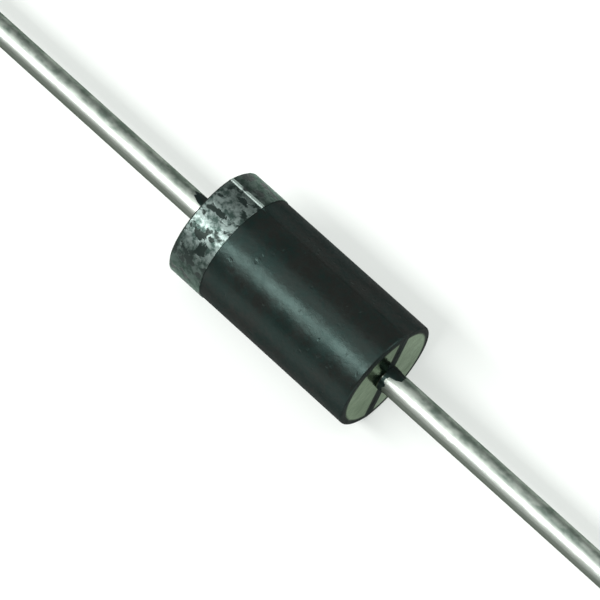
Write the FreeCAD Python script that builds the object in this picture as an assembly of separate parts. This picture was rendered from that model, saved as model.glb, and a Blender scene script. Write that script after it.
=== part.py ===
import FreeCAD
import Part
import math
import os

# Axial rectifier diode: a resin-moulded body with a printed cathode band and two straight wire
# leads. All sizes are millimetres. The leads run along X, the banded cathode end is at -X and the
# anode end at +X. The origin is the middle of the moulded body, on the lead axis, with +Z up.

# Moulded body
body_diameter = 3.5
body_length = 6.74            # measured along the mould seam, where the ends stand furthest out
end_draft = 1.5               # degrees that each half of an end face leans in from the seam
rim_radius = 0.07
seam_roll = 64.6              # degrees from +Y towards +Z to the mould seam, as the diode lies
flash_height = 0.025          # how far the seam stands proud of the body
flash_width = 0.12
gate_length = 0.95            # where the resin runner broke off, on the underside seam
gate_width = 0.34
gate_height = 0.055

# Resin that crept out along the wires: thin tongues at the seam, and a short ring all round
cathode_bleed_length = 0.8
anode_bleed_length = 0.5
bleed_width = 0.34
bleed_thickness = 0.035       # at the body, thinning out to the edge below
bleed_edge = 0.012
root_ring_length = 0.16
root_ring_thickness = 0.03    # a little inside the end face, thinning out to the same edge

# Printed cathode band
band_width = 1.15
band_margin = 0.01            # bare resin between the rim's rounding and the ink
ink_thickness = 0.02

# Wire leads, both cut from the same headed wire
wire_diameter = 0.75
lead_length = 26.0            # free length outside the body
tip_chamfer = 0.05
head_diameter = 1.8
head_thickness = 0.3
head_chamfer = 0.06
neck_diameter = 0.85          # the wire swells towards its head, where it was upset
neck_cover = 0.1              # resin over the far end of that swelling

# Pinched anchor wings, which stop the wire from turning or pulling out of the resin
anchor_distance = 1.95        # from the middle of the body to the middle of the wings
anchor_length = 0.5
anchor_ramp = 0.08
anchor_span = 1.3
anchor_thickness = 0.44
anchor_bulge = 0.06

# Silicon die with sloped sides, its wide face towards the cathode
die_thickness = 0.26
die_cathode_side = 1.27
die_anode_side = 1.17

# Solder joints between the die and the two nail heads
solder_thickness = 0.06
solder_spread = 0.05

# Soft silicone collar round the die and over the edges of both nail heads
collar_bulge = 0.3            # how far it swells out past the heads
collar_grip = 0.18            # how far it reaches along the rim of each head

body_radius = body_diameter / 2
wire_radius = wire_diameter / 2
head_radius = head_diameter / 2
half_length = body_length / 2
head_face = die_thickness / 2 + solder_thickness
head_back = head_face + head_thickness
rim_lean = body_radius * math.tan(math.radians(end_draft))
origin = FreeCAD.Vector(0, 0, 0)
along = FreeCAD.Vector(1, 0, 0)
across = FreeCAD.Vector(0, 1, 0)
upright = FreeCAD.Vector(0, 0, 1)


def at(x, y=0.0, z=0.0):
    return FreeCAD.Vector(x, y, z)


def line(start, end):
    return Part.LineSegment(at(*start), at(*end)).toShape()


def arc(start, through, end):
    return Part.Arc(at(*start), at(*through), at(*end)).toShape()


def quarter(centre, radius, start_degrees):
    """Quarter circle in the XY plane, anticlockwise from start_degrees."""
    points = []
    for degrees in (start_degrees, start_degrees + 45, start_degrees + 90):
        angle = math.radians(degrees)
        points.append((centre[0] + radius * math.cos(angle), centre[1] + radius * math.sin(angle)))
    return arc(*points)


def filled(edges):
    return Part.Face(Part.Wire(Part.sortEdges(edges)[0]))


def turned(edges):
    """Solid of revolution about the lead axis from an outline of (x, radius) edges."""
    return filled(edges).revolve(origin, along, 360)


def rod(radius, start, end):
    return Part.makeCylinder(radius, end - start, at(start), along)


def block(low, high):
    return Part.makeBox(high[0] - low[0], high[1] - low[1], high[2] - low[2], at(*low))


def slab(edges, thickness):
    """Flat plate of an outline in the XY plane, half of its thickness on each side."""
    plate = filled(edges).extrude(at(0, 0, thickness))
    plate.translate(at(0, 0, -thickness / 2))
    return plate


def rotated(shape, axis, degrees):
    copy = shape.copy()
    copy.rotate(origin, axis, degrees)
    return copy


def end_for_end(shape):
    """The same piece turned from the anode side to the cathode side."""
    return rotated(shape, upright, 180)


def seam_plate(proud):
    """Thin plate in the XY plane that stands out past the body as a ridge all round its seam."""
    corner = rim_radius + proud
    x = half_length + proud
    y = body_radius + proud
    edges = [
        line((corner - x, -y), (x - corner, -y)),
        quarter((x - corner, corner - y), corner, 270),
        line((x, corner - y), (x, y - corner)),
        quarter((x - corner, y - corner), corner, 0),
        line((x - corner, y), (corner - x, y)),
        quarter((corner - x, y - corner), corner, 90),
        line((-x, y - corner), (-x, corner - y)),
        quarter((corner - x, corner - y), corner, 180),
    ]
    plate = slab(edges, flash_width)
    outline = [edge for edge in plate.Edges if abs(edge.tangentAt(edge.FirstParameter).z) < 0.5]
    return plate.makeChamfer(flash_height, outline)


def drafted_barrel():
    """The body's round barrel, with each end face leaning in on both sides of the seam."""
    barrel = rod(body_radius, -half_length, half_length)
    reach = body_diameter
    waste = block((0, -reach, 0), (reach, reach, reach))
    waste = rotated(waste, across, -end_draft)
    waste.translate(at(half_length))
    for side in (0, 180):
        half_waste = rotated(waste, along, side)
        barrel = barrel.cut([half_waste, end_for_end(half_waste)])
    rim = [edge for edge in barrel.Edges if edge.Curve.TypeId == "Part::GeomEllipse"]
    return barrel.makeFillet(rim_radius, rim)


def root_ring():
    """The ring of resin round the wire where it leaves the anode end, thinner towards its edge."""
    start = half_length - rim_radius
    tip = half_length + root_ring_length
    root = wire_radius + root_ring_thickness
    return Part.makeCone(root, wire_radius + bleed_edge, tip - start, at(start), along)


def resin_bleed(length):
    """Tongues of resin on both sides of the wire, in the seam plane, at the anode end."""
    start = half_length - rim_radius
    tip = half_length + length
    half_width = bleed_width / 2
    taper = (bleed_thickness - bleed_edge) / length
    inner_thickness = bleed_thickness + taper * rim_radius
    sleeve = Part.makeCone(
        wire_radius + inner_thickness, wire_radius + bleed_edge, tip - start, at(start), along
    )
    edges = [
        line((start, -half_width), (tip - half_width, -half_width)),
        arc((tip - half_width, -half_width), (tip, 0), (tip - half_width, half_width)),
        line((tip - half_width, half_width), (start, half_width)),
        line((start, half_width), (start, -half_width)),
    ]
    tongue = rotated(slab(edges, body_diameter), along, 90)
    return sleeve.common(tongue)


def gate_vestige():
    return block(
        (-gate_length / 2, -body_radius - gate_height, -gate_width / 2),
        (gate_length / 2, -body_radius / 2, gate_width / 2),
    )


def body_outside():
    """The moulded body as it leaves the mould, with nothing inside it."""
    pieces = [
        seam_plate(flash_height),
        root_ring(),
        end_for_end(root_ring()),
        resin_bleed(anode_bleed_length),
        end_for_end(resin_bleed(cathode_bleed_length)),
        gate_vestige(),
    ]
    outside = drafted_barrel().fuse(pieces).removeSplitter()
    return rotated(outside, along, seam_roll)


def anchor_wings():
    """Copper squeezed out sideways where the wire was pinched flat."""
    near = anchor_distance - anchor_length / 2
    far = anchor_distance + anchor_length / 2
    root = wire_radius - anchor_ramp
    tip = anchor_span / 2
    edges = [
        line((near - anchor_ramp, -root), (near - anchor_ramp, root)),
        line((near - anchor_ramp, root), (near, tip)),
        arc((near, tip), (anchor_distance, tip + anchor_bulge), (far, tip)),
        line((far, tip), (far + anchor_ramp, root)),
        line((far + anchor_ramp, root), (far + anchor_ramp, -root)),
        line((far + anchor_ramp, -root), (far, -tip)),
        arc((far, -tip), (anchor_distance, -tip - anchor_bulge), (near, -tip)),
        line((near, -tip), (near - anchor_ramp, -root)),
    ]
    return slab(edges, anchor_thickness)


def anchor_pockets():
    """What the two punches pressed away, above and below the wire, with sloped ends."""
    near = anchor_distance - anchor_length / 2
    far = anchor_distance + anchor_length / 2
    floor = anchor_thickness / 2
    above = 2 * wire_radius - floor
    slope = 2 * anchor_ramp
    edges = [
        line((near, floor), (far, floor)),
        line((far, floor), (far + slope, above)),
        line((far + slope, above), (near - slope, above)),
        line((near - slope, above), (near, floor)),
    ]
    pocket = slab(edges, wire_diameter)
    return [rotated(pocket, along, 90), rotated(pocket, along, 270)]


def headed_wire():
    """The anode lead: nail head, swollen neck, pinched anchor wings and the long free wire."""
    tip = half_length + lead_length
    profile = [
        (head_face, 0),
        (head_face, head_radius - head_chamfer),
        (head_face + head_chamfer, head_radius),
        (head_back - head_chamfer, head_radius),
        (head_back, head_radius - head_chamfer),
        (head_back, neck_diameter / 2),
        (half_length - neck_cover, wire_radius),
        (tip - tip_chamfer, wire_radius),
        (tip, wire_radius - tip_chamfer),
        (tip, 0),
        (head_face, 0),
    ]
    edges = [line(start, end) for start, end in zip(profile, profile[1:])]
    return turned(edges).cut(anchor_pockets()).fuse(anchor_wings()).removeSplitter()


def frustum(start_side, end_side, start, end):
    """Block with four sloped sides between two squares that stand across the lead axis."""
    a = start_side / 2
    b = end_side / 2
    wedge = Part.makeWedge(-a, start, -a, -b, -b, a, end, a, b, b)
    return rotated(wedge, upright, -90)


def silicon_die():
    return frustum(die_cathode_side, die_anode_side, -die_thickness / 2, die_thickness / 2)


def solder_joint(die_side):
    """Solder on the anode side for a die face of this size, wetting the flat of the head."""
    die_face = die_thickness / 2
    pad = frustum(die_side, die_side + 2 * solder_spread, die_face, head_face)
    return pad.common(rod(head_radius - head_chamfer, die_face, head_face))


def collar_outside():
    """The silicone collar as one solid lens, before the joint inside it is taken out."""
    end = head_face + collar_grip
    edges = [
        line((-end, 0), (-end, head_radius)),
        arc((-end, head_radius), (0, head_radius + collar_bulge), (end, head_radius)),
        line((end, head_radius), (end, 0)),
        line((end, 0), (-end, 0)),
    ]
    return turned(edges)


def cathode_band(outside):
    """Ring of ink printed over the barrel and its seam, at the cathode end."""
    start = -half_length + rim_lean + rim_radius + band_margin
    end = start + band_width
    reach = body_diameter
    ridge = rotated(seam_plate(flash_height + ink_thickness), along, seam_roll)
    ridge = ridge.common(block((start, -reach, -reach), (end, reach, reach)))
    ink = rod(body_radius + ink_thickness, start, end)
    return ink.fuse(ridge).cut(outside).removeSplitter()


def build():
    outside = body_outside()
    anode_lead = headed_wire()
    cathode_lead = end_for_end(anode_lead)
    die = silicon_die()
    anode_solder = solder_joint(die_anode_side)
    cathode_solder = end_for_end(solder_joint(die_cathode_side))
    collar = collar_outside()
    return {
        "moulded_body": outside.cut([collar, anode_lead, cathode_lead]),
        "cathode_band": cathode_band(outside),
        "anode_lead": anode_lead,
        "cathode_lead": cathode_lead,
        "silicon_die": die,
        "anode_solder": anode_solder,
        "cathode_solder": cathode_solder,
        "silicone_collar": collar.cut([anode_lead, cathode_lead, anode_solder, cathode_solder, die]),
    }


os.makedirs("parts", exist_ok=True)
for node, shape in build().items():
    shape.exportStep(os.path.join("parts", node + ".step"))
    print(node, len(shape.Solids), "solid", shape.isValid(), round(shape.Volume, 4), "mm3")
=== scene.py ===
import math

import bmesh
import bpy
from mathutils import Matrix, Vector, noise


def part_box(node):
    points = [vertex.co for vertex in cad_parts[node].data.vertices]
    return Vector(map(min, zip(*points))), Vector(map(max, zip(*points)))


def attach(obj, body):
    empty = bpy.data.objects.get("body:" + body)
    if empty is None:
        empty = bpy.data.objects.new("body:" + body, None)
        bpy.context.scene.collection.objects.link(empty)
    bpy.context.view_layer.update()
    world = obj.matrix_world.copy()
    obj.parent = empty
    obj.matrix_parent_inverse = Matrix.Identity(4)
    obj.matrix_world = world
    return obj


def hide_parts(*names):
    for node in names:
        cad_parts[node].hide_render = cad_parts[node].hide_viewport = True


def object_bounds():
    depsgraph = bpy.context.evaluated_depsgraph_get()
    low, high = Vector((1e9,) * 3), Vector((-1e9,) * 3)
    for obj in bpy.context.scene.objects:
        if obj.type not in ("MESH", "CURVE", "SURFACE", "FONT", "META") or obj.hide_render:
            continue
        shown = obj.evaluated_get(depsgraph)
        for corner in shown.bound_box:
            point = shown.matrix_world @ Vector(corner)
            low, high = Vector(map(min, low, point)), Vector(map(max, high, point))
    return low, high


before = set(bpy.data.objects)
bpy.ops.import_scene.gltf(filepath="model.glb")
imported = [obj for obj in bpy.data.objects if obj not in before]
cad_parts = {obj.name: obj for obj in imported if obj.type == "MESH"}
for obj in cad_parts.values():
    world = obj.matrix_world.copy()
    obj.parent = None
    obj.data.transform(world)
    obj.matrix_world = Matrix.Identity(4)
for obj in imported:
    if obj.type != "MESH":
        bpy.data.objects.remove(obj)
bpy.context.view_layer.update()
mm = 0.001  # the pieces below are worked out in millimetres and made in metres

# the diode lies along X with its banded cathode end at -X


def meshObject(name, mesh):
    piece = bpy.data.objects.new(name, mesh)
    bpy.context.scene.collection.objects.link(piece)
    return piece


def pieceFromRings(name, rings, poles=(None, None), loop=False):
    # skin over rings of points in millimetres, closed by a pole at each end or by joining up
    shape = bmesh.new()
    verts = [[shape.verts.new(point * mm) for point in ring] for ring in rings]
    count = len(rings[0])
    pairs = list(zip(verts, verts[1:]))
    if loop:
        pairs.append((verts[-1], verts[0]))
    for first, second in pairs:
        for k in range(count):
            j = (k + 1) % count
            shape.faces.new((first[k], second[k], second[j], first[j]))
    for pole, ring, flip in ((poles[0], verts[0], False), (poles[1], verts[-1], True)):
        if pole is None:
            continue
        tip = shape.verts.new(pole * mm)
        for k in range(count):
            j = (k + 1) % count
            corners = (tip, ring[j], ring[k]) if flip else (tip, ring[k], ring[j])
            shape.faces.new(corners)
    bmesh.ops.recalc_face_normals(shape, faces=shape.faces)
    mesh = bpy.data.meshes.new(name)
    shape.to_mesh(mesh)
    shape.free()
    return meshObject(name, mesh)


def combined(piece, tool, operation):
    # the piece after a boolean with the tool, as a plain mesh
    cut = piece.modifiers.new("cut", "BOOLEAN")
    cut.object = tool
    cut.operation = operation
    cut.solver = "EXACT"
    bpy.context.view_layer.update()
    graph = bpy.context.evaluated_depsgraph_get()
    mesh = bpy.data.meshes.new_from_object(piece.evaluated_get(graph))
    piece.modifiers.clear()
    old = piece.data
    piece.data = mesh
    bpy.data.meshes.remove(old)
    mesh.name = piece.name
    return piece


def discard(piece):
    mesh = piece.data
    bpy.data.objects.remove(piece)
    bpy.data.meshes.remove(mesh)


def softEdges(piece, degrees):
    # smooth shading that stays crisp at edges sharper than this
    shape = bmesh.new()
    shape.from_mesh(piece.data)
    bmesh.ops.remove_doubles(shape, verts=shape.verts, dist=1e-8)
    for face in shape.faces:
        face.smooth = True
    for edge in shape.edges:
        edge.smooth = edge.calc_face_angle(0) < math.radians(degrees)
    volume = shape.calc_volume() / mm ** 3
    shape.to_mesh(piece.data)
    shape.free()
    print(f"{piece.name}: {len(piece.data.polygons)} faces, {volume:.3f} cubic mm")
    return piece


def ramp(low, high, value):
    t = min(1, max(0, (value - low) / (high - low)))
    return t * t * (3 - 2 * t)


def wander(x, y=0.0, z=0.0):
    return noise.noise(Vector((x, y, z)))


# body


bodyForm = {
    "radius": 1.75,
    "halfLength": 3.37,  # at the mould seam, where each end stands furthest out
    "endDraft": 1.5,  # degrees
    "rimRadius": 0.07,
    "barrelRows": 96,
    "endRows": 16,
    "rimRows": 7,
    # the flash along the mould seam
    "seamRoll": 64.6,  # degrees from +Y towards +Z
    "seamHeight": 0.025,
    "seamHalfWidth": 0.06,
    "seamFlat": 0.03,
    "seamWorn": 0.15,  # share of that height left where handling wore it down
    "seamUneven": 0.5,  # how much that share varies
    "seamLeast": 0.05,  # and the least of it
    "seamWornFrom": -2.1,  # worn from here towards the plain end
    "seamWholeFrom": 2.6,  # and less and less from here on
    # the torn stub where the runner broke off
    "gateHalfLength": 0.475,
    "gateHalfWidth": 0.17,
    "gateHeight": 0.055,
    "gateSlope": (0.93, 0.8),  # shares of its half length and half width that stay at full height
    "gateTorn": 0.35,
    # the resin that crept out along the leads: a ring round each, and a tongue on each side at the seam
    "tongueLength": {"cathode": 0.8, "anode": 0.5},
    "tongueHalfWidth": 0.17,
    "tongueThickness": 0.035,
    "tongueEdge": 0.012,
    "tongueRagged": 0.28,
    "tongueRows": 9,
    "ringLength": 0.16,
    "ringThickness": 0.03,
    "ringRagged": 0.9,
    "rootDepth": 0.07,  # how far under the wire's surface its skin starts
}


# columns round the body: close together at the seam, where each keeps
# its distance from the seam plane at any radius
seamOffsets = (0, 0.015, 0.03, 0.045, 0.06, 0.08, 0.1, 0.12, 0.14, 0.155, 0.17, 0.2)
openColumns = 22
quarterColumns = len(seamOffsets) - 1 + openColumns


def columnAngle(column, radius):
    quadrant, place = divmod(column, quarterColumns)
    if quadrant % 2:
        place = quarterColumns - place
    last = len(seamOffsets) - 1
    if place <= last:
        angle = math.asin(seamOffsets[place] / radius)
    else:
        edge = math.asin(seamOffsets[last] / radius)
        angle = edge + (math.pi / 2 - edge) * (place - last) / openColumns
    return (angle, math.pi - angle, math.pi + angle, 2 * math.pi - angle)[quadrant]


def seamAngles(radius):
    return [columnAngle(column, radius) for column in range(4 * quarterColumns)]


def onTurn(x, radius, angle):
    turned = angle + math.radians(bodyForm["seamRoll"])
    return Vector((x, radius * math.cos(turned), radius * math.sin(turned)))


def seamHump(radius, angle, along):
    # how far the flash at the seam stands up at this place
    away = abs(radius * math.sin(angle))
    if away >= bodyForm["seamHalfWidth"]:
        return 0
    side = math.copysign(4, math.cos(angle))  # each side of the body wears in its own way
    start = bodyForm["seamWornFrom"]
    whole = bodyForm["seamWholeFrom"]
    left = bodyForm["seamWorn"] + bodyForm["seamUneven"] * wander(along * 2.3, side)
    left += 0.5 * ramp(whole, whole + 0.5, along)
    wear = ramp(start, start + 0.3, along)
    height = bodyForm["seamHeight"] * (1 - wear * (1 - max(bodyForm["seamLeast"], left)))
    return height * (1 - ramp(bodyForm["seamFlat"], bodyForm["seamHalfWidth"], away))


def gateHump(x, angle):
    # the torn stub where the runner broke off, on the underside seam
    if math.cos(angle) > 0:
        return 0
    away = abs(bodyForm["radius"] * math.sin(angle))
    flatAlong, flatAcross = bodyForm["gateSlope"]
    across = 1 - ramp(flatAcross, 1, away / bodyForm["gateHalfWidth"])
    along = 1 - ramp(flatAlong, 1, abs(x) / bodyForm["gateHalfLength"])
    torn = 0.8 + bodyForm["gateTorn"] * wander(x * 9, away * 12, 3)
    return bodyForm["gateHeight"] * across * along * min(1, torn)


def bleedCrown(away, share):
    # how thick the crept resin is, this far from the seam plane; share is 0 at its tip and 1 at the end face
    edge = bodyForm["tongueEdge"]
    across = min(1, abs(away / bodyForm["tongueHalfWidth"]))
    tongue = (edge + (bodyForm["tongueThickness"] - edge) * share) * (1 - across * across)
    ring = edge + (bodyForm["ringThickness"] - edge) * share
    return leadForm["radius"] + max(tongue, ring)


def bleedRings(side, length):
    # the resin round one lead's root, from inside the wire, out over its edge and back to the end face
    root = leadForm["radius"] - bodyForm["rootDepth"]
    steps = bodyForm["tongueRows"]
    rings = []
    for k in range(-2, steps + 1):
        ring = []
        for angle in seamAngles(root):
            away = root * math.sin(angle)
            across = min(1, abs(away / bodyForm["tongueHalfWidth"]))
            tongue = length * math.sqrt(1 - across ** 4)
            ragged = bodyForm["tongueRagged"] * wander(away * 12, side * 5, math.copysign(3, math.cos(angle)))
            tongue *= 0.97 + ragged
            ragged = bodyForm["ringRagged"] * wander(2 * math.cos(angle), 2 * math.sin(angle), side * 3)
            around = bodyForm["ringLength"] * (1 + ragged)
            reach = max(tongue, around)
            share = max(0, k) / steps
            radius = bleedCrown(away, share) if k >= 0 else root + 0.03 * k
            ring.append(onTurn(side * (endFace(root, angle) + reach * (1 - share)), radius, angle))
        rings.append(ring)
    return rings


def endFace(radius, angle):
    # each half of an end face leans in from the seam
    lean = math.tan(math.radians(bodyForm["endDraft"]))
    return bodyForm["halfLength"] - abs(radius * math.sin(angle)) * lean


def endRings(side):
    # one end face from the lead's root out to the barrel
    rings = []
    rim = bodyForm["rimRadius"]
    flat = bodyForm["radius"] - rim
    steps = bodyForm["endRows"]
    for k in range(steps):
        ring = []
        for column in range(4 * quarterColumns):
            away = leadForm["radius"] * math.sin(columnAngle(column, leadForm["radius"]))
            root = bleedCrown(away, 1) + 0.003  # just clear of the tongue, so that no two points meet
            radius = root + (flat - root) * k / (steps - 1)
            angle = columnAngle(column, radius)
            x = endFace(radius, angle) + seamHump(radius, angle, radius)
            ring.append(onTurn(side * x, radius, angle))
        rings.append(ring)
    turns = bodyForm["rimRows"]
    for k in range(1, turns + 1):
        phi = math.pi / 2 * k / turns
        radius = flat + rim * math.sin(phi)
        ring = []
        for angle in seamAngles(radius):
            hump = seamHump(radius, angle, bodyForm["radius"])
            x = endFace(flat, angle) - rim * (1 - math.cos(phi)) + hump * math.cos(phi)
            ring.append(onTurn(side * x, radius + hump * math.sin(phi), angle))
        rings.append(ring)
    return rings


def barrelRings():
    rings = []
    radius = bodyForm["radius"]
    rows = bodyForm["barrelRows"]
    angles = seamAngles(radius)
    for k in range(1, rows):
        ring = []
        for angle in angles:
            end = endFace(radius - bodyForm["rimRadius"], angle) - bodyForm["rimRadius"]
            x = end * (2 * k / rows - 1)
            hump = max(seamHump(radius, angle, x), gateHump(x, angle))
            ring.append(onTurn(x, radius + hump, angle))
        rings.append(ring)
    return rings


def bodyOutside():
    left = bleedRings(-1, bodyForm["tongueLength"]["cathode"]) + endRings(-1)
    right = bleedRings(1, bodyForm["tongueLength"]["anode"]) + endRings(1)
    rings = left + barrelRings() + right[::-1]
    poles = (Vector((-bodyForm["halfLength"], 0, 0)), Vector((bodyForm["halfLength"], 0, 0)))
    return pieceFromRings("moulded_body_skin", rings, poles)


# leads


leadForm = {
    "radius": 0.375,
    "freeLength": 26.0,
    "tipChamfer": 0.05,
    "columns": 96,
    "rowsAlong": 90,
    # the nail head inside the body
    "headFace": 0.19,
    "headThickness": 0.3,
    "headRadius": 0.9,
    "headChamfer": 0.06,
    "neckRadius": 0.425,
    "neckCover": 0.1,
    # the pinched wings that anchor it in the resin
    "wingDistance": 1.95,
    "wingHalfLength": 0.25,
    "wingRamp": 0.08,
    "wingHalfSpan": 0.65,
    "wingHalfThickness": 0.22,
    "wingBulge": 0.06,
}


def turnedPiece(name, profile, columns):
    # body of revolution about X from (x, radius) points, with a pole at each end
    rings = []
    for x, radius in profile:
        ring = []
        for k in range(columns):
            angle = 2 * math.pi * k / columns
            ring.append(Vector((x, radius * math.cos(angle), radius * math.sin(angle))))
        rings.append(ring)
    poles = (Vector((profile[0][0], 0, 0)), Vector((profile[-1][0], 0, 0)))
    return pieceFromRings(name, rings, poles)


def slabPiece(name, outline, low, high, upAxis):
    # flat plate of an outline, given as (x, sideways) points
    shape = bmesh.new()
    rows = []
    for height in (low, high):
        row = []
        for x, y in outline:
            place = (x, y, height) if upAxis == "Z" else (x, height, y)
            row.append(shape.verts.new(Vector(place) * mm))
        rows.append(row)
    shape.faces.new(rows[0])
    shape.faces.new(rows[1])
    count = len(outline)
    for k in range(count):
        j = (k + 1) % count
        shape.faces.new((rows[0][k], rows[0][j], rows[1][j], rows[1][k]))
    bmesh.ops.recalc_face_normals(shape, faces=shape.faces)
    mesh = bpy.data.meshes.new(name)
    shape.to_mesh(mesh)
    shape.free()
    return meshObject(name, mesh)


def wireProfile(side):
    form = leadForm
    back = form["headFace"] + form["headThickness"]
    mouth = bodyForm["halfLength"]
    tip = mouth + form["freeLength"]
    bevel = form["headChamfer"]
    profile = [
        (form["headFace"], form["headRadius"] - bevel),
        (form["headFace"] + bevel, form["headRadius"]),
        (back - bevel, form["headRadius"]),
        (back, form["headRadius"] - bevel),
        (back, form["neckRadius"]),
    ]
    start = mouth - form["neckCover"]
    end = tip - form["tipChamfer"]
    rows = form["rowsAlong"]
    for k in range(rows + 1):
        profile.append((start + (end - start) * k / rows, form["radius"]))
    profile.append((tip - form["tipChamfer"] * 0.3, form["radius"] - form["tipChamfer"] * 0.5))
    profile.append((tip, form["radius"] - form["tipChamfer"]))
    return [(side * x, radius) for x, radius in profile]


def wingOutline(side):
    form = leadForm
    near = form["wingDistance"] - form["wingHalfLength"]
    far = form["wingDistance"] + form["wingHalfLength"]
    root = leadForm["radius"] - form["wingRamp"]
    tip = form["wingHalfSpan"]
    top = [(near - form["wingRamp"], root), (near, tip)]
    steps = 6
    for k in range(1, steps):
        share = 2 * k / steps - 1
        x = form["wingDistance"] + share * form["wingHalfLength"]
        top.append((x, tip + form["wingBulge"] * (1 - share * share)))
    top += [(far, tip), (far + form["wingRamp"], root)]
    outline = top + [(x, -y) for x, y in reversed(top)]
    return [(side * x, y) for x, y in outline]


def pocketOutline(side, up):
    form = leadForm
    near = form["wingDistance"] - form["wingHalfLength"]
    far = form["wingDistance"] + form["wingHalfLength"]
    floor = form["wingHalfThickness"]
    above = 2 * leadForm["radius"] - floor
    slope = 2 * form["wingRamp"]
    outline = [(near, floor), (far, floor), (far + slope, above), (near - slope, above)]
    return [(side * x, up * y) for x, y in outline]


def makeLead(name, side):
    lead = turnedPiece(name, wireProfile(side), leadForm["columns"])
    width = leadForm["radius"] * 1.3  # the pockets cut right through the sides
    for up in (-1, 1):
        pocket = slabPiece("pocket", pocketOutline(side, up), -width, width, "Y")
        combined(lead, pocket, "DIFFERENCE")
        discard(pocket)
    thickness = leadForm["wingHalfThickness"]
    wings = slabPiece("wings", wingOutline(side), -thickness, thickness, "Z")
    combined(lead, wings, "UNION")
    discard(wings)
    return softEdges(lead, degrees=25)


collarForm = {
    "halfLength": 0.37,
    "bulge": 0.3,
}


def collarCutter():
    # the room that the silicone collar takes up inside the resin
    form = collarForm
    edge = leadForm["headRadius"]
    end = form["halfLength"]
    bulge = form["bulge"]
    arcRadius = (end * end + bulge * bulge) / (2 * bulge)
    middle = edge + bulge - arcRadius
    reach = math.asin(end / arcRadius) if bulge <= arcRadius else math.pi - math.asin(end / arcRadius)
    profile = [(-end, edge)]
    steps = 12
    for k in range(1, steps):
        angle = reach * (2 * k / steps - 1)
        profile.append((arcRadius * math.sin(angle), middle + arcRadius * math.cos(angle)))
    profile.append((end, edge))
    return turnedPiece("collar_cutter", profile, leadForm["columns"])


def makeBody(leads):
    body = bodyOutside()
    body.name = "resin_body"
    collar = collarCutter()
    combined(body, collar, "DIFFERENCE")
    discard(collar)
    for lead in leads:
        combined(body, lead, "DIFFERENCE")
    return softEdges(body, degrees=32)


# ink band


bandForm = {
    "thickness": 0.02,
    "edgeWander": 0.02,
    "edgeBusy": 9,  # how closely those wanderings follow each other
    "lap": 0.03,  # how far the ink runs over the start of the rim's rounding
    "rowsAlong": 8,
    "edgeRows": ((0, 0), (0, 0.6), (0.15, 0.92), (0.5, 1), (1, 1)),  # inset and lift, in thicknesses
}


def rimStart(angle):
    # how far from the middle the barrel stays straight
    flat = bodyForm["radius"] - bodyForm["rimRadius"]
    return endFace(flat, angle) - bodyForm["rimRadius"]


def outsideAt(x, angle):
    radius = bodyForm["radius"] + seamHump(bodyForm["radius"], angle, x)
    over = abs(x) - rimStart(angle)
    if over > 0:
        rim = bodyForm["rimRadius"]
        radius -= rim - math.sqrt(rim * rim - over * over)
    return radius


def makeBand():
    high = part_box("cathode_band")[1].x / mm
    thickness = bandForm["thickness"]
    rows = bandForm["edgeRows"]
    steps = bandForm["rowsAlong"]
    rings = []

    def addRing(share, inset, lift):
        made = []
        for angle in seamAngles(bodyForm["radius"]):
            turn = Vector((math.cos(angle), math.sin(angle), 0)) * bandForm["edgeBusy"]
            first = -rimStart(angle) - bandForm["lap"] * (0.8 + 0.5 * noise.noise(turn))
            last = high - bandForm["edgeWander"] * (0.5 + 0.7 * noise.noise(turn + Vector((0, 0, 7))))
            x = first + (last - first) * share + inset * thickness
            made.append(onTurn(x, outsideAt(x, angle) + lift * thickness, angle))
        rings.append(made)

    for inset, lift in rows:
        addRing(0, inset, lift)
    for k in range(1, steps):
        addRing(k / steps, 0, 1)
    for inset, lift in reversed(rows):
        addRing(1, -inset, lift)
    for k in range(steps - 1, 0, -1):
        addRing(k / steps, 0, 0)
    band = pieceFromRings("ink_band", rings, loop=True)
    return softEdges(band, degrees=40)


anodeLead = makeLead("anode_wire", 1)
cathodeLead = makeLead("cathode_wire", -1)
body = makeBody([anodeLead, cathodeLead])
band = makeBand()
print("meshes made")


# materials


class Value:  # a node's output, so that shader maths reads as Python
    def __init__(self, finish, socket):
        self.finish = finish
        self.socket = socket

    def math(self, operation, other=0.0, flipped=False):
        pair = (other, self) if flipped else (self, other)
        return self.finish.node("ShaderNodeMath", {"operation": operation}, {0: pair[0], 1: pair[1]})

    def __add__(self, other):
        return self.math("ADD", other)

    def __sub__(self, other):
        return self.math("SUBTRACT", other)

    def __rsub__(self, other):
        return self.math("SUBTRACT", other, True)

    def __mul__(self, other):
        return self.math("MULTIPLY", other)

    __radd__ = __add__
    __rmul__ = __mul__


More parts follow.
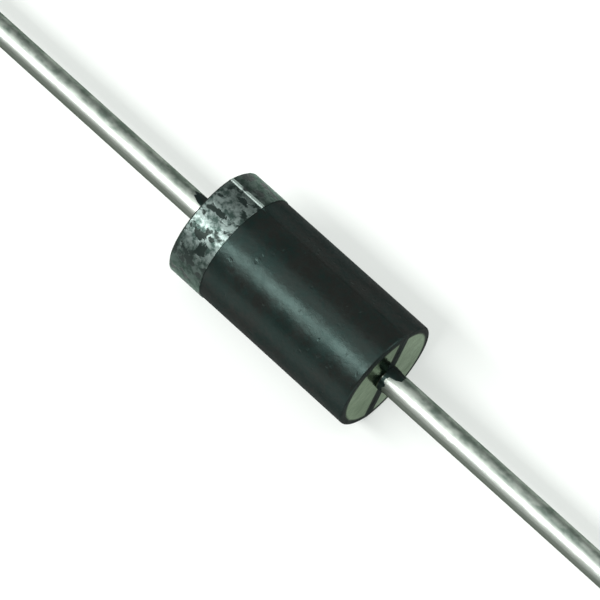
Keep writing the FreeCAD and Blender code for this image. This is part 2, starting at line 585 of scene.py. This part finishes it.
class Finish:  # one material, built node by node
    def __init__(self, name):
        self.material = bpy.data.materials.new(name)
        self.material.use_nodes = True
        self.tree = self.material.node_tree
        self.tree.nodes.clear()

    def node(self, kind, settings=None, sockets=None, output=0):
        made = self.tree.nodes.new(kind)
        for key, value in (settings or {}).items():
            setattr(made, key, value)
        for key, value in (sockets or {}).items():
            if isinstance(value, Value):
                self.tree.links.new(value.socket, made.inputs[key])
            else:
                made.inputs[key].default_value = value
        return Value(self, made.outputs[output]) if len(made.outputs) else None

    def place(self, stretch=(1, 1, 1), shift=(0, 0, 0)):
        # where a point is, in millimetres, stretched and shifted
        spot = self.node("ShaderNodeTexCoord", output="Object")
        scale = [value / mm for value in stretch]
        scaled = self.node("ShaderNodeVectorMath", {"operation": "MULTIPLY"}, {0: spot, 1: scale})
        return self.node("ShaderNodeVectorMath", {"operation": "ADD"}, {0: scaled, 1: shift})

    def cloud(self, scale, detail=2.0, roughness=0.5, stretch=(1, 1, 1), shift=(0, 0, 0)):
        spot = self.place(stretch, shift)
        sockets = {"Vector": spot, "Scale": scale, "Detail": detail, "Roughness": roughness}
        return self.node("ShaderNodeTexNoise", {}, sockets)

    def step(self, value, low, high, toLow=0.0, toHigh=1.0):
        # smooth change between two levels; a noise cloud lies mostly between 0.35 and 0.65
        settings = {"interpolation_type": "SMOOTHSTEP", "clamp": True}
        sockets = {"Value": value, "From Min": low, "From Max": high, "To Min": toLow, "To Max": toHigh}
        return self.node("ShaderNodeMapRange", settings, sockets)

    def mix(self, share, first, second):
        first = first if isinstance(first, Value) else (*first, 1)
        second = second if isinstance(second, Value) else (*second, 1)
        return self.node("ShaderNodeMix", {"data_type": "RGBA"}, {0: share, 6: first, 7: second}, 2)

    def facing(self):
        # 0 where the surface faces the eye, 1 where it is seen edge on
        return self.node("ShaderNodeLayerWeight", {}, {"Blend": 0.5}, 1)

    def relief(self, height, depth, below=None):
        # bump from a height of 0 to 1, with its full depth in millimetres
        sockets = {"Height": height, "Strength": 1.0, "Distance": depth * mm}
        if below is not None:
            sockets["Normal"] = below
        return self.node("ShaderNodeBump", {}, sockets)

    def shader(self, sockets):
        return self.node("ShaderNodeBsdfPrincipled", {}, sockets)

    def blend(self, share, first, second):
        return self.node("ShaderNodeMixShader", {}, {0: share, 1: first, 2: second})

    def finished(self, shader):
        self.node("ShaderNodeOutputMaterial", {}, {"Surface": shader})
        return self.material


def fromSeam(finish):
    # how far a place is from the seam plane, in millimetres
    roll = math.radians(bodyForm["seamRoll"])
    across = (0, -math.sin(roll), math.cos(roll))
    return finish.node("ShaderNodeVectorMath", {"operation": "DOT_PRODUCT"}, {0: finish.place(), 1: across}, 1)


def fromAxis(finish):
    # how far a place is from the diode's axis, in millimetres
    return finish.node("ShaderNodeVectorMath", {"operation": "LENGTH"}, {0: finish.place((0, 1, 1))}, 1)


resinLook = {
    "clouds": {"slow": 0.9, "waves": 1.1, "middle": 2.3, "pits": 4.2, "fine": 7, "grain": 42},  # per mm
    "warm": (0.0074, 0.0052, 0.0046),
    "cool": (0.0022, 0.0064, 0.0056),
    "roughness": (0.29, 0.38),
    # where the barrel turns away from the eye: 0 is face on, 1 edge on
    "grazing": (0.18, 0.58),
    "grazingRoughness": 0.4,  # added there
    "edgeShadeDull": 0.4,  # share of a dull, unreflecting shader there: painted shade along the barrel's edges
    "gloss": (0.64, 1.0, 0.92, 1),
    "specular": 0.30,
    "endLight": (0.040, 0.045, 0.038),  # the end faces are polished
    "endDark": (0.020, 0.025, 0.019),
    "endEdge": (0.86, 1.0, 0.82, 1),
    "endRoughness": (0.13, 0.20),
    "endRipple": 0.010,  # depths in millimetres, as for the barrel below
    "endDapple": 0.004,
    # where that polish fades in or out, in millimetres
    "behindSeam": (0.15, 0.10),
    "beyondSeam": (0.01, 0.02),
    "fromRim": (0.19, 0.09),
    "fromFlash": (0.15, 0.24),
    # the barrel's skin
    "mouldGrain": 0.0016,
    "waviness": 0.010,
    "ripple": 0.013,
    "dapple": 0.0035,
    "pit": 0.006,
    "pitLevel": (0.68, 0.78),  # only the cloud's peaks make pits
}


def onEndFace(finish):
    # 1 on the end faces inside their rims and clear of the flash across them, 0 elsewhere
    reach = finish.node("ShaderNodeSeparateXYZ", {}, {0: finish.place()}).math("ABSOLUTE")
    edge = bodyForm["radius"] - bodyForm["rimRadius"]
    half = bodyForm["halfLength"]
    low, high = resinLook["behindSeam"]
    share = finish.step(reach, half - low, half - high)
    low, high = resinLook["beyondSeam"]
    share = share * finish.step(reach, half + low, half + high, 1.0, 0.0)
    low, high = resinLook["fromRim"]
    share = share * finish.step(fromAxis(finish), edge - low, edge - high, 1.0, 0.0)
    return share * finish.step(fromSeam(finish).math("ABSOLUTE"), *resinLook["fromFlash"])


def makeResin():
    finish = Finish("moulded_resin")
    clouds = resinLook["clouds"]
    slow = finish.cloud(clouds["slow"], 3, 0.6)
    middle = finish.cloud(clouds["middle"], 2, 0.5, stretch=(0.8, 1, 1))
    fine = finish.cloud(clouds["fine"], 4, 0.6, shift=(3, 1, 7))
    grain = finish.cloud(clouds["grain"], 2, 0.5)
    cool = finish.step(slow * 0.6 + fine * 0.4, 0.38, 0.62)
    colour = finish.mix(cool, resinLook["warm"], resinLook["cool"])
    grazing = finish.step(finish.facing(), *resinLook["grazing"])
    rough = finish.step(middle * 0.4 + fine * 0.4 + grain * 0.2, 0.38, 0.62, *resinLook["roughness"])
    waves = finish.relief(finish.cloud(clouds["waves"], 2, 0.5, shift=(9, 2, 4)), resinLook["waviness"])
    ripples = finish.relief(middle, resinLook["ripple"], waves)
    dapples = finish.relief(fine, resinLook["dapple"], ripples)
    pits = finish.cloud(clouds["pits"], 1, 0.5, shift=(5, 3, 2))
    pits = finish.step(pits, *resinLook["pitLevel"], 1.0, 0.0)
    pitted = finish.relief(pits, resinLook["pit"], dapples)
    barrel = finish.shader({
        "Base Color": colour,
        "Roughness": rough + grazing * resinLook["grazingRoughness"],
        "Normal": finish.relief(grain, resinLook["mouldGrain"], pitted),
        "IOR": 1.55,
        "Specular IOR Level": resinLook["specular"],
        "Specular Tint": resinLook["gloss"],
    })
    dull = finish.shader({"Base Color": colour, "Roughness": 1.0, "Specular IOR Level": 0.0})
    endRipples = finish.relief(middle, resinLook["endRipple"], waves)
    uneven = finish.relief(fine, resinLook["endDapple"], endRipples)
    end = finish.shader({
        "Base Color": finish.mix(finish.step(slow, 0.42, 0.58), resinLook["endDark"], resinLook["endLight"]),
        "Metallic": 1.0,
        "Roughness": finish.step(fine, 0.35, 0.65, *resinLook["endRoughness"]),
        "Normal": uneven,
        "Specular Tint": resinLook["endEdge"],
    })
    # painted shade: the barrel's edges lose their reflection as they turn from the eye
    outside = finish.blend(grazing * resinLook["edgeShadeDull"], barrel, dull)
    return finish.finished(finish.blend(onEndFace(finish), outside, end))


inkLook = {
    "clouds": {"blotch": 3.4, "speck": 11, "tone": 5},
    "bright": (0.205, 0.255, 0.240),
    "shade": (0.040, 0.064, 0.056),
    "seamHighlight": (0.42, 0.50, 0.47),  # painted highlight: a lighter ink colour along the seam ridge
    "bare": (0.006, 0.011, 0.010),
    "turned": (0.020, 0.028, 0.024),  # painted shade: the dark colour given to the ink where it is seen at a glancing angle
    "grazing": (0.06, 0.42),
    "edgeShadeShare": 0.7,
    "cover": (0.39, 0.47),
    "ridge": (0.055, 0.085),  # the painted highlight's edge, in millimetres from the seam plane
    "edge": (0.72, 0.90, 0.80, 1),
    "roughness": (0.34, 0.5),
    "metallic": 0.85,
    "relief": 0.006,
    # places where the ink is chipped or thin:
    # x, degrees round from +Y towards +Z, size along and around, and depth
    "chips": (
        (-2.74, 98, 0.36, 0.15, 0.25),
        (-2.60, 75, 0.30, 0.15, 0.25),
        (-3.12, 72, 0.14, 0.20, 0.25),
        (-2.78, 124, 0.30, 0.18, 0.20),
        (-2.44, 121, 0.16, 0.13, 0.20),
        (-2.52, 135, 0.26, 0.36, 0.20),
        (-3.24, 150, 0.14, 0.45, 0.15),
        (-3.15, 46, 0.30, 0.40, 0.20),
        (-2.70, 148, 0.80, 0.35, 0.06),
    ),
}


def makeInk():
    finish = Finish("silver_ink")
    clouds = inkLook["clouds"]
    blotch = finish.cloud(clouds["blotch"], 2, 0.5, stretch=(0.85, 1, 1), shift=(1, 5, 2))
    speck = finish.cloud(clouds["speck"], 3, 0.6)
    height = blotch * 0.8 + speck * 0.2
    for x, degrees, long, wide, depth in inkLook["chips"]:
        turn = math.radians(degrees)
        middle = (x, bodyForm["radius"] * math.cos(turn), bodyForm["radius"] * math.sin(turn))
        stretch = (1 / long, 1 / wide, 1 / wide)
        centre = [place * scale for place, scale in zip(middle, stretch)]
        sockets = {0: finish.place(stretch), 1: centre}
        gap = finish.node("ShaderNodeVectorMath", {"operation": "DISTANCE"}, sockets, 1)
        height = height - finish.step(gap + speck * 1.2, 1.4, 0.9) * depth
    cover = finish.step(height, *inkLook["cover"])  # 0 where the ink is gone
    patches = finish.step(finish.cloud(clouds["tone"], 3, 0.6), 0.36, 0.62)
    tone = finish.mix(patches, inkLook["shade"], inkLook["bright"])
    # painted highlight: lighter ink along the seam ridge, patchy along its length
    ridge = finish.step(fromSeam(finish).math("ABSOLUTE"), *inkLook["ridge"], 1.0, 0.0)
    ridge = ridge * finish.step(blotch, 0.36, 0.44)
    tone = finish.mix(ridge, tone, inkLook["seamHighlight"])
    # painted shade: the ink's colour darkens towards the band's edges as they turn from the eye
    grazing = finish.step(finish.facing(), *inkLook["grazing"])
    tone = finish.mix(grazing * (1 - ridge) * inkLook["edgeShadeShare"], tone, inkLook["turned"])
    cover = cover.math("MAXIMUM", ridge)
    return finish.finished(finish.shader({
        "Base Color": finish.mix(cover, inkLook["bare"], tone),
        "Metallic": cover * inkLook["metallic"],
        "Roughness": finish.step(speck, 0.35, 0.65, *inkLook["roughness"]),
        "Specular IOR Level": resinLook["specular"],
        "Specular Tint": inkLook["edge"],
        "Normal": finish.relief(cover + speck * 0.25, inkLook["relief"]),
    }))


wireLook = {
    "clouds": {"drawn": 9, "blotch": 1.6, "spots": 3.6, "lumps": 1.2, "dents": 3},
    "colour": (0.53, 0.57, 0.53),
    "dull": (0.46, 0.50, 0.46),
    "shadedSideBlotches": ((0.21, 0.27, 0.23), (0.56, 0.62, 0.56)),  # blotches, darker overall as painted shade: darkest and lightest, on the side turned away from the key lamp
    "paintedShadeSide": 17.5,  # degrees from +Y towards +Z
    "paintedShadeEdge": (-0.05, 0.30),  # in radii from the middle towards that side
    "paintedShadeDepth": (0.06, 0.02),  # in millimetres under the wire's side, so that the cut ends stay bright
    "roughness": (0.48, 0.40),
    "edge": (0.34, 0.37, 0.34, 1),
    "paintedEdgeShade": (0.085, 0.096, 0.080),  # painted shade: a dark colour mixed in where the wire is seen at a glancing angle, to darken its edges
    "paintedEdgeFacing": (0.10, 0.34),
    "paintedEdgeShadeShare": 0.82,
    "lump": 0.012,
    "dent": 0.013,
    "drawnLine": 0.0015,
}


def makeTinned():
    finish = Finish("tinned_wire")
    clouds = wireLook["clouds"]
    drawn = finish.cloud(clouds["drawn"], 3, 0.55, stretch=(0.06, 1, 1))
    blotch = finish.cloud(clouds["blotch"], 3, 0.6, stretch=(0.6, 1, 1), shift=(4, 8, 1))
    spots = finish.cloud(clouds["spots"], 3, 0.6, stretch=(0.75, 1, 1), shift=(6, 1, 3))
    bright = finish.step(blotch * 0.6 + drawn * 0.4, 0.36, 0.6)
    colour = finish.mix(bright, wireLook["dull"], wireLook["colour"])
    # painted shade: a darker, blotchy colour on one side of the wire, the side turned away from the key lamp
    dark, light = wireLook["shadedSideBlotches"]
    shadedSideBlotches = finish.mix(finish.step(blotch * 0.5 + spots * 0.5, 0.38, 0.62), dark, light)
    side = math.radians(wireLook["paintedShadeSide"])
    aside = (0, math.cos(side) / leadForm["radius"], math.sin(side) / leadForm["radius"])
    turned = finish.node("ShaderNodeVectorMath", {"operation": "DOT_PRODUCT"}, {0: finish.place(), 1: aside}, 1)
    paintedShadeShare = finish.step(turned + (spots - 0.5) * 0.5, *wireLook["paintedShadeEdge"])
    deep, shallow = wireLook["paintedShadeDepth"]
    radius = leadForm["radius"]
    paintedShadeShare = paintedShadeShare * finish.step(fromAxis(finish), radius - deep, radius - shallow)
    colour = finish.mix(paintedShadeShare, colour, shadedSideBlotches)
    # painted shade: the wire's colour darkens towards its edges as they turn from the eye
    paintedEdgeShade = finish.step(finish.facing(), *wireLook["paintedEdgeFacing"], 0.0, wireLook["paintedEdgeShadeShare"])
    paintedEdgeShade = paintedEdgeShade * (1 - paintedShadeShare * 0.5)
    colour = finish.mix(paintedEdgeShade, colour, wireLook["paintedEdgeShade"])
    rough = finish.step(drawn * 0.5 + blotch * 0.5, 0.35, 0.65, *wireLook["roughness"])
    lumps = finish.cloud(clouds["lumps"], 2, 0.5, stretch=(0.5, 1, 1))
    dents = finish.cloud(clouds["dents"], 2, 0.5, stretch=(0.6, 1, 1), shift=(2, 2, 6))
    normal = finish.relief(lumps, wireLook["lump"])
    normal = finish.relief(dents, wireLook["dent"], normal)
    normal = finish.relief(drawn, wireLook["drawnLine"], normal)
    return finish.finished(finish.shader({
        "Base Color": colour,
        "Metallic": 1.0,
        "Roughness": rough,
        "Normal": normal,
        "Specular Tint": wireLook["edge"],
    }))


innerCloud = 6  # per mm
innerRelief = 0.002
innerLooks = {  # two colours, metallic and roughness
    "silicon_die": ((0.20, 0.21, 0.24), (0.27, 0.28, 0.31), 0.9, 0.18),
    "cathode_solder": ((0.42, 0.43, 0.43), (0.55, 0.56, 0.55), 1.0, 0.42),
    "anode_solder": ((0.42, 0.43, 0.43), (0.55, 0.56, 0.55), 1.0, 0.42),
    "silicone_collar": ((0.55, 0.53, 0.48), (0.66, 0.64, 0.59), 0.0, 0.55),
}


def makeInner(name, first, second, metallic, roughness):
    finish = Finish(name + "_finish")
    cloud = finish.cloud(innerCloud, 3, 0.6)
    return finish.finished(finish.shader({
        "Base Color": finish.mix(finish.step(cloud, 0.35, 0.65), first, second),
        "Metallic": metallic,
        "Roughness": finish.step(cloud, 0.3, 0.7, roughness * 0.8, roughness * 1.2),
        "Normal": finish.relief(cloud, innerRelief),
    }))


def dress(piece, material, slot=None, nodes=()):
    piece.data.materials.clear()
    piece.data.materials.append(material)
    if slot:
        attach(piece, "root")
        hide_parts(*nodes)


tinned = makeTinned()
dress(body, makeResin(), "body_resin", ["moulded_body"])
dress(band, makeInk(), "band_ink", ["cathode_band"])
dress(anodeLead, tinned, "tinned_wire", ["anode_lead"])
dress(cathodeLead, tinned, "tinned_wire", ["cathode_lead"])
for name, look in innerLooks.items():
    dress(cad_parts[name], makeInner(name, *look))
print("materials made")


# stage, lights and camera

stageLook = {
    "floorSize": 4.0,
    "floorColour": (0.52, 0.535, 0.52),
    "floorCloud": 0.02,  # per mm
    "floorTone": (0.985, 1.0),
    "worldColour": (0.96, 1.0, 0.97),
    "worldLevel": 0.32,
    "backdropGlow": 0.46,  # what the paper adds to the picture and to reflections of it
}

cameraAim = {
    "azimuth": 44.56,  # 0 looks along +Y
    "elevation": 66.13,
    "distance": 105.0,
    "pixelsPerMm": 36.3,  # at the middle of the body
    "pixels": 600,
    "sensor": 36,  # millimetres
    "bodyPixel": (298.6, 298.3),  # where the middle of the body lands
}

lampSet = {
    # lean is in degrees from the vertical towards -Y and power in watts; the rest is in millimetres:
    # shift along X, distance outwards, and the lamp's sides along X and across it
    "key": {"lean": 35, "shift": -125, "distance": 250, "along": 350, "across": 66, "power": 0.90},
    "top": {"lean": 3, "shift": -75, "distance": 250, "along": 250, "across": 100, "power": 0.11},
    "fill": {"lean": -35, "shift": 150, "distance": 300, "along": 260, "across": 140, "power": 0.34},
}


def makeFloor():
    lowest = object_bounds()[0].z
    half = stageLook["floorSize"] / 2
    shape = bmesh.new()
    corners = [shape.verts.new((x * half, y * half, lowest)) for x, y in ((-1, -1), (1, -1), (1, 1), (-1, 1))]
    shape.faces.new(corners)
    mesh = bpy.data.meshes.new("floor")
    shape.to_mesh(mesh)
    shape.free()
    floor = meshObject("floor", mesh)
    finish = Finish("floor_paper")
    tone = finish.step(finish.cloud(stageLook["floorCloud"], 2, 0.5), 0.3, 0.7, *stageLook["floorTone"])
    sockets = {0: stageLook["floorColour"], 3: tone}
    colour = finish.node("ShaderNodeVectorMath", {"operation": "SCALE"}, sockets)
    camera = finish.node("ShaderNodeLightPath", output="Is Camera Ray")
    glossy = finish.node("ShaderNodeLightPath", output="Is Glossy Ray")
    through = finish.node("ShaderNodeLightPath", output="Is Transmission Ray")
    seen = (camera + glossy + through).math("MINIMUM", 1.0)
    paper = [stageLook["backdropGlow"] * part for part in stageLook["worldColour"]]
    glow = finish.mix(seen, (0, 0, 0), paper)
    floor.data.materials.append(finish.finished(finish.shader({
        "Base Color": colour,
        "Roughness": 0.9,
        "Specular IOR Level": 0.0,
        "Emission Color": glow,
        "Emission Strength": 1.0,
    })))


def makeWorld():
    world = bpy.data.worlds.new("studio")
    world.use_nodes = True
    background = world.node_tree.nodes["Background"]
    background.inputs["Color"].default_value = (*stageLook["worldColour"], 1)
    background.inputs["Strength"].default_value = stageLook["worldLevel"]
    bpy.context.scene.world = world


def makeLamp(name, setup):
    lamp = bpy.data.lights.new(name, "AREA")
    lamp.shape = "RECTANGLE"
    lamp.size = setup["along"] * mm
    lamp.size_y = setup["across"] * mm
    lamp.energy = setup["power"]
    holder = bpy.data.objects.new(name, lamp)
    bpy.context.scene.collection.objects.link(holder)
    lean = math.radians(setup["lean"])
    away = Vector((0, -math.sin(lean), math.cos(lean)))
    holder.location = (away * setup["distance"] + Vector((setup["shift"], 0, 0))) * mm
    holder.rotation_mode = "QUATERNION"
    # the lamp's long side stays along X
    across = away.cross(Vector((1, 0, 0)))
    turn = Matrix((Vector((1, 0, 0)), across, away)).transposed()
    holder.rotation_quaternion = turn.to_quaternion()


def makeCamera():
    aim = cameraAim
    azimuth, elevation = math.radians(aim["azimuth"]), math.radians(aim["elevation"])
    back = Vector((
        math.sin(azimuth) * math.cos(elevation),
        -math.cos(azimuth) * math.cos(elevation),
        math.sin(elevation),
    ))
    turn = (-back).to_track_quat("-Z", "Y")
    right, up = turn @ Vector((1, 0, 0)), turn @ Vector((0, 1, 0))
    middle = aim["pixels"] / 2
    offRight = (middle - aim["bodyPixel"][0]) / aim["pixelsPerMm"]
    offDown = (middle - aim["bodyPixel"][1]) / aim["pixelsPerMm"]
    data = bpy.data.cameras.new("camera")
    camera = bpy.data.objects.new("camera", data)
    bpy.context.scene.collection.objects.link(camera)
    camera.location = (back * aim["distance"] + right * offRight - up * offDown) * mm
    camera.rotation_mode = "QUATERNION"
    camera.rotation_quaternion = turn
    data.sensor_width = aim["sensor"]
    data.lens = aim["sensor"] * aim["distance"] / (aim["pixels"] / aim["pixelsPerMm"])
    data.clip_start = 0.001
    data.clip_end = 20
    bpy.context.scene.camera = camera


makeFloor()
makeWorld()
for name, setup in lampSet.items():
    makeLamp(name, setup)
makeCamera()
bpy.context.scene.view_settings.view_transform = "Standard"
print("stage, lights and camera made")
